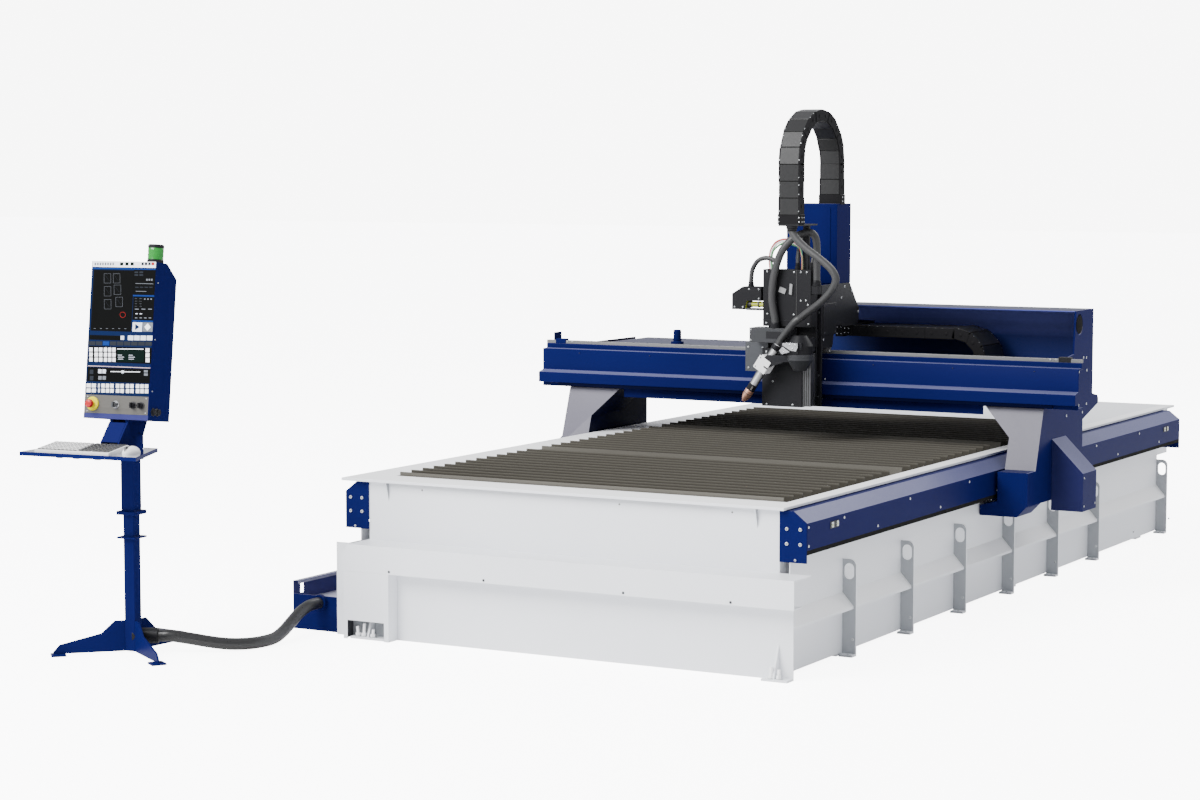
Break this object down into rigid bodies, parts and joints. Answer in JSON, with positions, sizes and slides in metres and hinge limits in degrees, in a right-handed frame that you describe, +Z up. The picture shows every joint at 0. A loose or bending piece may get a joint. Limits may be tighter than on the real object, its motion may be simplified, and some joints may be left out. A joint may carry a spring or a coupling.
{
  "type": "cnc plasma table",
  "caption": "Cutting table with a slat bed between enclosed side rails, a travelling gantry with a bevel torch head, and a separate operator console joined by a conduit.",
  "frame": {"origin": "floor under the middle of the table, on the underside of the middle sleeper", "axes": "+Z up, +Y along the table away from its front, +X to the right seen from the front"},
  "size_m": [3.2611, 6.2819, 2.2571],
  "materials": {
    "white_paint": "semi gloss",
    "blue_paint": "gloss",
    "black_cover": "satin",
    "steel": "machined",
    "slat_steel": "burnt",
    "chain_plastic": "matt",
    "aluminium": "brushed",
    "chrome": "polished",
    "copper": "satin",
    "hose_rubber": "matt",
    "screen_glass": "gloss",
    "lamp_green": "gloss",
    "keys_plastic": "satin",
    "red_plastic": "satin"
  },
  "bodies": {
    "table": {"base_frame": "steel", "side_walls": "white_paint", "front_panel": "white_paint", "front_apron": "white_paint", "leg_cover": "white_paint", "side_ribs": "white_paint", "tub_walls": "white_paint", "rim_flanges": "white_paint", "rear_deck": "white_paint", "slat_racks": "steel", "slats": "slat_steel", "drop_pan": "steel", "rail_beams": "white_paint", "rail_covers": "blue_paint", "rail_end_plates": "blue_paint", "y_rails": "steel", "table_fasteners": "steel", "cable_trough": "blue_paint", "y_chain": "chain_plastic", "console_base": "blue_paint", "console_lower_post": "blue_paint", "console_upper_post": "blue_paint", "console_shelf": "blue_paint", "console_housing": "blue_paint", "console_screen": "screen_glass", "control_plate": "aluminium", "stack_light": "lamp_green", "keyboard_set": "keys_plastic", "conduit_glands": "black_cover", "conduit": "hose_rubber"},
    "estop": {"estop_button": "red_plastic"},
    "key": {"key_switch": "chrome"},
    "left_selector": {"selector_left": "keys_plastic"},
    "right_selector": {"selector_right": "keys_plastic"},
    "gantry": {"gantry_beam": "blue_paint", "x_rails": "steel", "gantry_legs": "blue_paint", "gantry_trucks": "blue_paint", "y_bearings": "steel", "drive_covers": "blue_paint", "drive_motors": "black_cover", "chain_tray": "blue_paint", "beam_stops": "black_cover", "x_chain": "chain_plastic"},
    "carriage": {"carriage_plate": "black_cover", "tower": "blue_paint", "x_drive": "black_cover", "carriage_guides": "steel", "z_chain": "chain_plastic"},
    "ram": {"z_ram": "black_cover", "ram_core": "aluminium", "z_box": "black_cover", "sensor_box": "black_cover", "bevel_housing": "aluminium", "ram_hoses": "hose_rubber", "torch_lead": "hose_rubber"},
    "bevel": {"bevel_arm": "chrome"},
    "torch": {"torch_clamp": "aluminium", "torch_body": "chrome", "torch_nozzle": "copper"}
  },
  "joints": [
    {"name": "gantry_travel", "type": "slide", "parent": "table", "child": "gantry", "axis": [0, 1, 0], "range_m": [-1.75, 1.85], "deforming": ["y_chain"]},
    {"name": "carriage_travel", "type": "slide", "parent": "gantry", "child": "carriage", "axis": [1, 0, 0], "range_m": [-1, 0.65], "deforming": ["x_chain"]},
    {"name": "z_travel", "type": "slide", "parent": "carriage", "child": "ram", "axis": [0, 0, 1], "range_m": [-0.14, 0.2], "deforming": ["z_chain"]},
    {"name": "bevel_turn", "type": "hinge", "parent": "ram", "child": "bevel", "pos_m": [0.13, -0.52, 1.11], "axis": [0, 0, 1], "range_deg": [0, 180], "deforming": ["torch_lead"]},
    {"name": "bevel_tilt", "type": "hinge", "parent": "bevel", "child": "torch", "pos_m": [-0.046, -0.52, 1.059], "axis": [0, 1, 0], "range_deg": [-33.5, 10], "deforming": ["torch_lead"]},
    {"name": "estop_push", "type": "slide", "parent": "table", "child": "estop", "axis": [-0.0985, 0.9872, -0.1253], "range_m": [0, 0.006], "stiffness_N_per_m": 600},
    {"name": "key_turn", "type": "hinge", "parent": "table", "child": "key", "pos_m": [-1.57303, -3.44068, 1.03153], "axis": [0.0985, -0.9872, 0.1253], "range_deg": [0, 90]},
    {"name": "left_selector_turn", "type": "hinge", "parent": "table", "child": "left_selector", "pos_m": [-1.48845, -3.43223, 1.03153], "axis": [0.0985, -0.9872, 0.1253], "range_deg": [-45, 45]},
    {"name": "right_selector_turn", "type": "hinge", "parent": "table", "child": "right_selector", "pos_m": [-1.45063, -3.42846, 1.03153], "axis": [0.0985, -0.9872, 0.1253], "range_deg": [-45, 45]}
  ]
}
